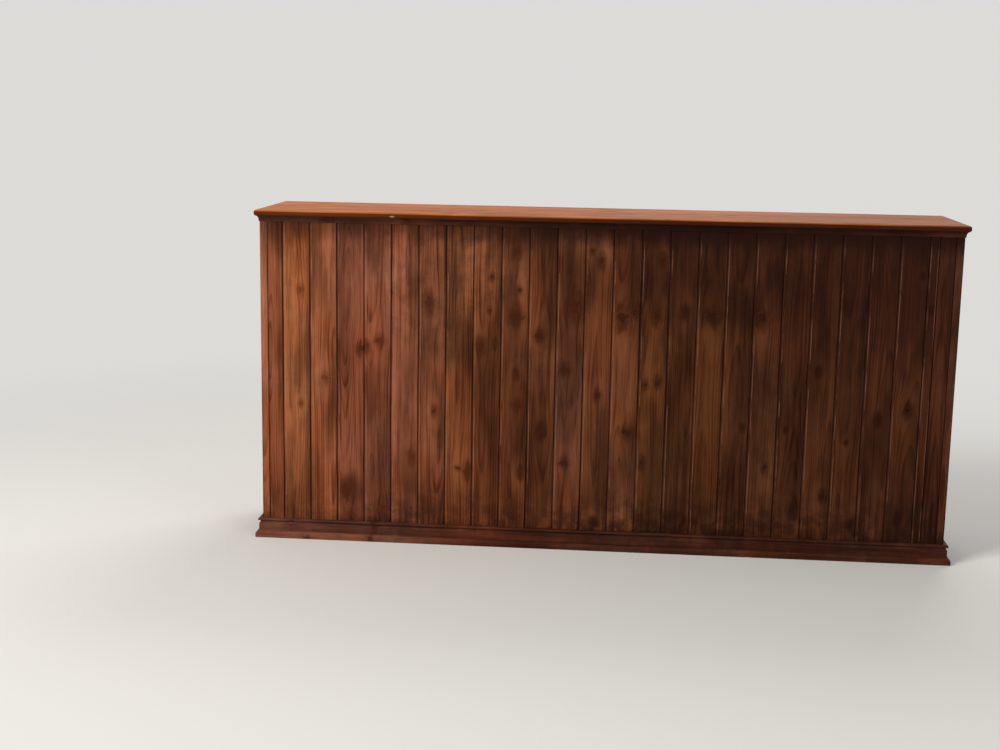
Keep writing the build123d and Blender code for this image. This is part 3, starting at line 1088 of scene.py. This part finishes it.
class Mouldings(bpy.types.Operator):
    """Build the cove, the plinth and the shoe, mitred at the front corners"""

    bl_idname = "counter.mouldings"
    bl_label = "Mouldings"

    def execute(self, context):
        sizes, wear = context.scene.counter_sizes, context.scene.counter_wear
        # Name, section, depth of its dents, (shade, warmth), and how dark its right half is. The cove's low
        # shade is painted shade under the nosing, and the darker right half is painted shade of light
        # falling from the left.
        kinds = (
            ("cove", cove_outline(sizes), 0.4, (0.6, 0.2), -0.85),
            ("plinth", plinth_outline(sizes), 1.0, (0.82, -0.1), -0.55),
            ("shoe", shoe_outline(sizes), 1.2, (1.0, 0.0), -0.6),
        )
        for number, (kind, outline, dents, (shade, warmth), dark) in enumerate(kinds):
            piece = swept(
                f"{kind}_moulding_front",
                outline,
                lambda u: (-HALF_LENGTH - u, HALF_LENGTH + u),
                FRONT_MOULDING_STEP,
                lambda u, v, w: (w, FRONT_FACE - u, v),
                bruise(wear, number, dents),
            )
            seed = MOULDING_SEED + number
            knots = random_knots(seed, 0.02, -COUNTER_REACH, COUNTER_REACH)
            # Paler at the left end and darker to the right: painted light and shade, as light falling from
            # the left would leave them.
            patches = ((-0.95, 0.4, 0.4), (0.4, 1.2, dark))
            describe_timber(piece, seed, shade, warmth, knots, patches)
            dress(piece, material(stain_on_mouldings), [f"{kind}_front"])
            # The left end lighter and the right end darker: painted light and shade, following the front.
            for (side, sign), share in zip(SIDES, (1.2, 0.85)):
                piece = swept(
                    f"{kind}_moulding_{side}_end",
                    outline,
                    lambda u: (FRONT_FACE - u, REAR_FACE),
                    END_MOULDING_STEP,
                    lambda u, v, w, sign=sign: (sign * (HALF_LENGTH + u), w, v),
                    bruise(wear, number + 5 * sign, dents),
                )
                describe_timber(piece, END_MOULDING_SEED + 4 * sign + number, shade * share, warmth)
                dress(piece, material(stain_on_mouldings), [f"{kind}_{side}_end"])
        return {"FINISHED"}


# The top


def slab_ring(inset, height, corner, low, high, steps):
    """One ring round the slab: rounded in from the front and ends by inset, square at the back."""
    left, right, front, back = low.x + inset, high.x - inset, low.y + inset, high.y
    radius = max(corner - inset, LEAST_RADIUS)
    side = spaced(front + radius, back, TOP_END_STEP)[1:-1]
    ring = [(left, back)]
    ring += [(left, y) for y in side[::-1]]
    ring += arc((left + radius, front + radius), (radius, radius), 180, 270)
    ring += [(x, front) for x in steps]
    ring += arc((right - radius, front + radius), (radius, radius), 270, 360)
    ring += [(right, y) for y in side]
    ring += [(right, back)]
    return [Vector((x, y, height)) for x, y in ring]


def worn_edge(point, wear, low, high):
    """A point of the top, pushed in where the front edge is dented or chipped."""
    edge = 1 - (point.y - low.y) / wear.dented_band
    if edge < 0:
        return point
    hit = max(0.0, noise.noise((point.x * 14, 3, point.z * 60)) - 0.38) * wear.dent * 1.5
    away = abs(point.x - wear.chip_place) / (wear.chip_width / 2)
    under = (high.z - wear.chip_top - point.z) / (high.z - low.z)
    if away < 1 and under > 0:
        ragged = 0.65 + 0.5 * noise.noise((point.x * 300, 0, point.z * 200))
        hit += wear.chip_depth * (1 - away * away) * min(1, under * 2.2) * ragged
    return point + Vector((0, hit * edge, 0))


class Top(bpy.types.Operator):
    """Build the varnished top from glued planks, with a rounded and chipped nosing"""

    bl_idname = "counter.top"
    bl_label = "Top"

    def execute(self, context):
        sizes, wear = context.scene.counter_sizes, context.scene.counter_wear
        low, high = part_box("counter_top")
        chip, reach = wear.chip_place, wear.chip_width / 2
        coarse = spaced(low.x + NOSING_STEP, high.x - NOSING_STEP, NOSING_STEP)
        fine = spaced(chip - reach * 1.5, chip + reach * 1.5, CHIP_STEP)
        steps = sorted([x for x in coarse if abs(x - chip) > reach * 1.6] + fine)
        upper, lower = sizes.nosing_upper, sizes.nosing_lower
        profile = [(upper - u, high.z - upper + v) for u, v in arc((0, 0), (upper, upper), 90, 0, 7)]
        profile += [(lower - u, low.z + lower + v) for u, v in arc((0, 0), (lower, lower), 0, -90, 6)]
        made = bmesh.new()
        rings = []
        for inset, height in profile:
            ring = slab_ring(inset, height, sizes.top_corner, low, high, steps)
            rings.append([made.verts.new(worn_edge(point, wear, low, high)) for point in ring])
        skin(made, rings)
        whole = bpy.data.meshes.new("top_whole")
        made.to_mesh(whole)
        made.free()
        edges = spaced(low.y, high.y, (high.y - low.y) / sizes.top_planks)
        names = ("front", "middle", "rear", "fourth", "fifth")
        for number, (name, front, back) in enumerate(zip(names, edges, edges[1:])):
            self.plank(name, whole, front, back, number)
        bpy.data.meshes.remove(whole)
        return {"FINISHED"}

    def plank(self, name, whole, front, back, number):
        """What lies of the whole top between two joints."""
        low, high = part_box("counter_top")
        made = bmesh.new()
        made.from_mesh(whole)
        for place, normal in ((front, -1), (back, 1)):
            if low.y < place < high.y:
                geometry = made.verts[:] + made.edges[:] + made.faces[:]
                cut = bmesh.ops.bisect_plane(
                    made, geom=geometry, plane_co=(0, place, 0), plane_no=(0, normal, 0), clear_outer=True
                )
                edges = [e for e in cut["geom_cut"] if isinstance(e, bmesh.types.BMEdge)]
                bmesh.ops.holes_fill(made, edges=edges)
        middle = (front + back) / 2
        piece = finish_mesh(
            f"top_plank_{name}", made, [(v.co.y - middle, v.co.z - high.z, v.co.x) for v in made.verts]
        )
        seed = PLANK_SEED + number
        knots = random_knots(seed, 0.06, -COUNTER_REACH, COUNTER_REACH, 0.45)
        # Paler at the left end and darker to the right: painted light and shade on the top, for light
        # falling from the left.
        patches = ((-0.8, 0.6, 0.4), (1.1, 0.7, -0.22))
        shade = (1.0, 0.9, 1.06)[number % 3]
        describe_timber(piece, seed, shade, 0.3, knots, patches, spacing=0.0095)
        dress(piece, material(varnish_on_top), ["counter_top"])


# Framing and shelves


def rectangle(node, along, over):
    """The corners of a frame node's side, in the frame's directions along and over."""
    low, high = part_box(node)
    a0, a1, b0, b1 = low[along], high[along], low[over], high[over]
    return [(a0, b0), (a1, b0), (a1, b1), (a0, b1)]


def squared_from_box(name, node, long_axis, sizes, outline=None):
    """A piece as large as its frame node. Its depth runs along the node's thinnest direction."""
    low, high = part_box(node)
    thin = min((i for i in range(3) if i != long_axis), key=lambda i: high[i] - low[i])
    other = 3 - long_axis - thin
    outline = outline or rectangle(node, long_axis, other)
    return squared(name, outline, (low[thin], high[thin]), (long_axis, other, thin), sizes.arris)


# The direction in which each rail and post runs
LONG_RAILS = ("front_bottom", "front_middle", "front_top", "rear_top", "rear_toe")
RAILS = {f"{place}_rail": 0 for place in LONG_RAILS}
RAILS |= {f"{side}_end_{level}_rail": 1 for side, _ in SIDES for level in ("bottom", "middle", "top")}
RAILS |= {f"{side}_{end}_post": 2 for side, _ in SIDES for end in ("front", "rear")}


class Framing(bpy.types.Operator):
    """Build the posts, the rails and the shelf bearers"""

    bl_idname = "counter.framing"
    bl_label = "Framing"

    def execute(self, context):
        sizes = context.scene.counter_sizes
        finish = material(bare_pine)
        for seed, (node, long_axis) in enumerate(RAILS.items(), RAIL_SEED):
            piece = squared_from_box(f"{node}_timber", node, long_axis, sizes)
            low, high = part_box(node)
            half = (high[long_axis] - low[long_axis]) / 2
            shade = random.Random(seed).uniform(0.85, 1.1)
            describe_timber(piece, seed, shade, knots=random_knots(seed, 0.02, -half, half), spacing=0.0045)
            dress(piece, finish, [node])
        for side, _ in SIDES:
            node = f"{side}_partition_bearers"
            low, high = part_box(node)
            wall_low, wall_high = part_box(f"{side}_partition")
            for number, span in enumerate(((low.x, wall_low.x), (wall_high.x, high.x))):
                name = f"{side}_bearer_{number + 1}"
                piece = squared(name, rectangle(node, 1, 2), span, (1, 2, 0), sizes.arris)
                describe_timber(piece, BEARER_SEED + number + len(side), spacing=0.004)
                dress(piece, finish, [node])
        return {"FINISHED"}


class Shelves(bpy.types.Operator):
    """Build the notched partitions, the decks and the shelves"""

    bl_idname = "counter.shelves"
    bl_label = "Partitions and shelves"

    def execute(self, context):
        sizes = context.scene.counter_sizes
        finish = material(sealed_pine)
        for seed, (side, _) in enumerate(SIDES, PARTITION_SEED):
            node = f"{side}_partition"
            piece = squared_from_box(f"{node}_board", node, 2, sizes, self.partition_outline(node))
            knots = random_knots(seed, 0.15, -PARTITION_REACH, PARTITION_REACH)
            describe_timber(piece, seed, 0.95, knots=knots, spacing=0.006)
            dress(piece, finish, [node])
        nodes = [f"{bay}_{level}" for level in ("deck", "shelf") for bay in ("left", "middle", "right")]
        for seed, node in enumerate(nodes, SHELF_SEED):
            piece = squared_from_box(f"{node}_board", node, 0, sizes, self.shelf_outline(node))
            knots = random_knots(seed, 0.15, -SHELF_REACH, SHELF_REACH)
            shade = random.Random(seed).uniform(0.85, 1.08)
            describe_timber(piece, seed, shade, 0.4, knots, spacing=0.006)
            dress(piece, finish, [node])
        return {"FINISHED"}

    def partition_outline(self, node):
        """Height and depth of a partition, cut round the rear rails."""
        low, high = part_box(node)
        top_rail, toe_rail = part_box("rear_top_rail"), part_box("rear_toe_rail")
        notch = top_rail[0].y
        return [
            (low.z, low.y), (high.z, low.y), (high.z, notch), (top_rail[0].z, notch),
            (top_rail[0].z, high.y), (toe_rail[1].z, high.y), (toe_rail[1].z, notch), (low.z, notch),
        ]

    def shelf_outline(self, node):
        """Length and depth of a shelf, cut round the corner posts at the counter's ends."""
        side = node.split("_")[0]
        if side == "middle":
            return rectangle(node, 0, 1)
        low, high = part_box(node)
        front_post, rear_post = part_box(f"{side}_front_post"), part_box(f"{side}_rear_post")
        outer, inner, post_face = low.x, high.x, front_post[1].x
        if side == "right":
            outer, inner, post_face = high.x, low.x, front_post[0].x
        outline = [(inner, low.y), (inner, high.y)]
        if high.y > rear_post[0].y + MILLIMETRE:
            outline += [(post_face, high.y), (post_face, rear_post[0].y), (outer, rear_post[0].y)]
        else:
            outline += [(outer, high.y)]
        return outline + [(outer, front_post[1].y), (post_face, front_post[1].y), (post_face, low.y)]


# Screws


def screw_head(made, centre, normal, turn, radius):
    """A slotted countersunk head, set flush with a little crown, in two halves beside its slot."""
    upright_turn = Vector(normal).to_track_quat("Z", "Y").to_matrix().to_4x4()
    base = Matrix.Translation(centre) @ upright_turn @ Matrix.Rotation(turn, 4, "Z")
    half_slot, depth = radius * 0.14, radius * 0.3
    crown_height, crown_share, steps = radius * 0.12, 0.7, 12
    edge_angle = math.asin(half_slot / radius)
    rim = arc((0, 0), (radius, radius), math.degrees(edge_angle), 180 - math.degrees(edge_angle), steps)
    crown = [(x * crown_share, max(y * crown_share, half_slot), crown_height) for x, y in rim]
    first, last = rim[0][0], rim[-1][0]
    slot = [(first, half_slot, -depth), (last, half_slot, -depth), (last, 0, -depth), (first, 0, -depth)]
    for flip in (0, math.pi):
        spin = base @ Matrix.Rotation(flip, 4, "Z")
        edge, face, floor = (
            [made.verts.new(spin @ Vector(point)) for point in points]
            for points in ([(x, y, 0) for x, y in rim], crown, slot)
        )
        for i in range(steps):
            made.faces.new((edge[i], edge[i + 1], face[i + 1], face[i]))
        made.faces.new(face)
        made.faces.new((face[0], face[-1], edge[-1], floor[1], floor[0], edge[0]))
        made.faces.new(floor)


class Screws(bpy.types.Operator):
    """Set slotted screw heads in the bearers and the rear rails"""

    bl_idname = "counter.screws"
    bl_label = "Screws"

    def execute(self, context):
        sizes = context.scene.counter_sizes
        made = bmesh.new()
        places = []
        for side, _ in SIDES:
            low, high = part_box(f"{side}_partition_bearers")
            height = (low.z + high.z) / 2
            for share in (0.12, 0.5, 0.88):
                y = low.y + (high.y - low.y) * share
                places += [((low.x, y, height), (-1, 0, 0)), ((high.x, y, height), (1, 0, 0))]
        for rail in ("rear_top_rail", "rear_toe_rail"):
            low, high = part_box(rail)
            for side, _ in SIDES:
                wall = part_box(f"{side}_partition")
                x = (wall[0].x + wall[1].x) / 2
                for z in (low.z + sizes.screw_inset, high.z - sizes.screw_inset):
                    places.append(((x, high.y, z), (0, 1, 0)))
        chance = random.Random(SCREW_SEED)
        for centre, facing in places:
            screw_head(made, Vector(centre), facing, chance.uniform(0, 3), sizes.screw_radius)
        piece = finish_mesh("screw_heads", made, [tuple(v.co) for v in made.verts])
        piece.data.materials.append(screw_metal(context.scene.counter_finish))
        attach(piece, "root")
        return {"FINISHED"}


# The stage


def lamp(name, place, size, power, colour):
    """A soft lamp that points at the middle of the counter."""
    light = bpy.data.lights.new(name, "AREA")
    light.shape = "RECTANGLE"
    light.size, light.size_y = size
    light.energy = power
    light.color = colour
    holder = bpy.data.objects.new(name, light)
    holder.location = place
    ahead = Vector((0, 0, TOP_SURFACE / 2)) - Vector(place)
    holder.rotation_euler = ahead.to_track_quat("-Z", "Y").to_euler()
    bpy.context.scene.collection.objects.link(holder)


class Stage(bpy.types.Operator):
    """Set the floor, the lamps, the backdrop and the camera"""

    bl_idname = "counter.stage"
    bl_label = "Stage"

    def execute(self, context):
        scene = context.scene
        view, finish = scene.counter_view, scene.counter_finish
        made = bmesh.new()
        bmesh.ops.create_circle(made, cap_ends=True, segments=96, radius=40)
        mesh = bpy.data.meshes.new("floor")
        made.to_mesh(mesh)
        made.free()
        floor = bpy.data.objects.new("floor", mesh)
        scene.collection.objects.link(floor)
        mesh.materials.append(floor_paint(finish))
        lamp("key_lamp", (-5.2, -4.6, 4.5), (3.1, 3.1), view.key_power, (1.0, 0.97, 0.92))
        lamp("fill_lamp", (3.6, -4.4, 3.0), (3.0, 2.4), view.fill_power, (0.96, 0.98, 1.0))
        lamp("rear_lamp", (1.0, 3.4, 4.2), (3.0, 2.4), view.rear_power, (1.0, 0.99, 0.97))
        self.world(scene, view, finish)
        self.camera(scene, view)
        scene.view_settings.view_transform = "Standard"
        return {"FINISHED"}

    def world(self, scene, view, finish):
        """Light from all round, and the pale backdrop that the camera and the gloss see."""
        world = bpy.data.worlds.new("soft_room")
        scene.world = world
        world.use_nodes = True
        world.node_tree.nodes.clear()
        paint = Painter(world.node_tree)
        path = paint.values("ShaderNodeLightPath")
        seen = paint.math("MAXIMUM", path["Is Camera Ray"], path["Is Glossy Ray"])
        seen = paint.math("MAXIMUM", seen, path["Is Transmission Ray"])
        strength = paint.ramp(seen, 0.0, 1.0, view.ambient, 1.0)
        sky = paint.value("ShaderNodeBackground", {"Color": finish.backdrop, "Strength": strength})
        paint.add("ShaderNodeOutputWorld", {"Surface": sky})

    def camera(self, scene, view):
        """Stands where the photograph was taken from."""
        data = bpy.data.cameras.new("camera")
        data.sensor_width = 36
        data.lens = view.lens
        camera = bpy.data.objects.new("camera", data)
        scene.collection.objects.link(camera)
        turn, dip = view.turn, view.dip
        ahead = Vector((-math.sin(turn) * math.cos(dip), math.cos(turn) * math.cos(dip), -math.sin(dip)))
        right = Vector((math.cos(turn), math.sin(turn), 0))
        up = right.cross(ahead)
        leaning = Matrix.Rotation(-view.tilt, 3, ahead)
        right, up = leaning @ right, leaning @ up
        facing = Matrix((right, up, -ahead)).transposed().to_4x4()
        camera.matrix_world = Matrix.Translation(view.eye) @ facing
        scene.camera = camera


class CounterPanel(bpy.types.Panel):
    """Lists the counter's pieces, in building order"""

    bl_idname = "VIEW3D_PT_counter"
    bl_label = "Bar counter"
    bl_space_type = "VIEW_3D"
    bl_region_type = "UI"
    bl_category = "Counter"

    def draw(self, context):
        for operator in OPERATORS:
            self.layout.operator(operator.bl_idname)


OPERATORS = (Stage, FrontBoards, EndBoards, StilesAndStrips, Mouldings, Top, Framing, Shelves, Screws)
GROUPS = {
    "counter_sizes": CounterSizes,
    "counter_wear": CounterWear,
    "counter_finish": CounterFinish,
    "counter_view": CounterView,
}


def register():
    for name, group in GROUPS.items():
        bpy.utils.register_class(group)
        setattr(bpy.types.Scene, name, PointerProperty(type=group))
    for kind in (*OPERATORS, CounterPanel):
        bpy.utils.register_class(kind)


def unregister():
    for kind in (CounterPanel, *reversed(OPERATORS)):
        bpy.utils.unregister_class(kind)
    for name, group in reversed(GROUPS.items()):
        delattr(bpy.types.Scene, name)
        bpy.utils.unregister_class(group)


def main():
    register()
    bpy.ops.counter.stage()
    bpy.ops.counter.front_boards()
    bpy.ops.counter.end_boards()
    bpy.ops.counter.stiles()
    bpy.ops.counter.mouldings()
    bpy.ops.counter.top()
    bpy.ops.counter.framing()
    bpy.ops.counter.shelves()
    bpy.ops.counter.screws()


if __name__ == "__main__":
    main()
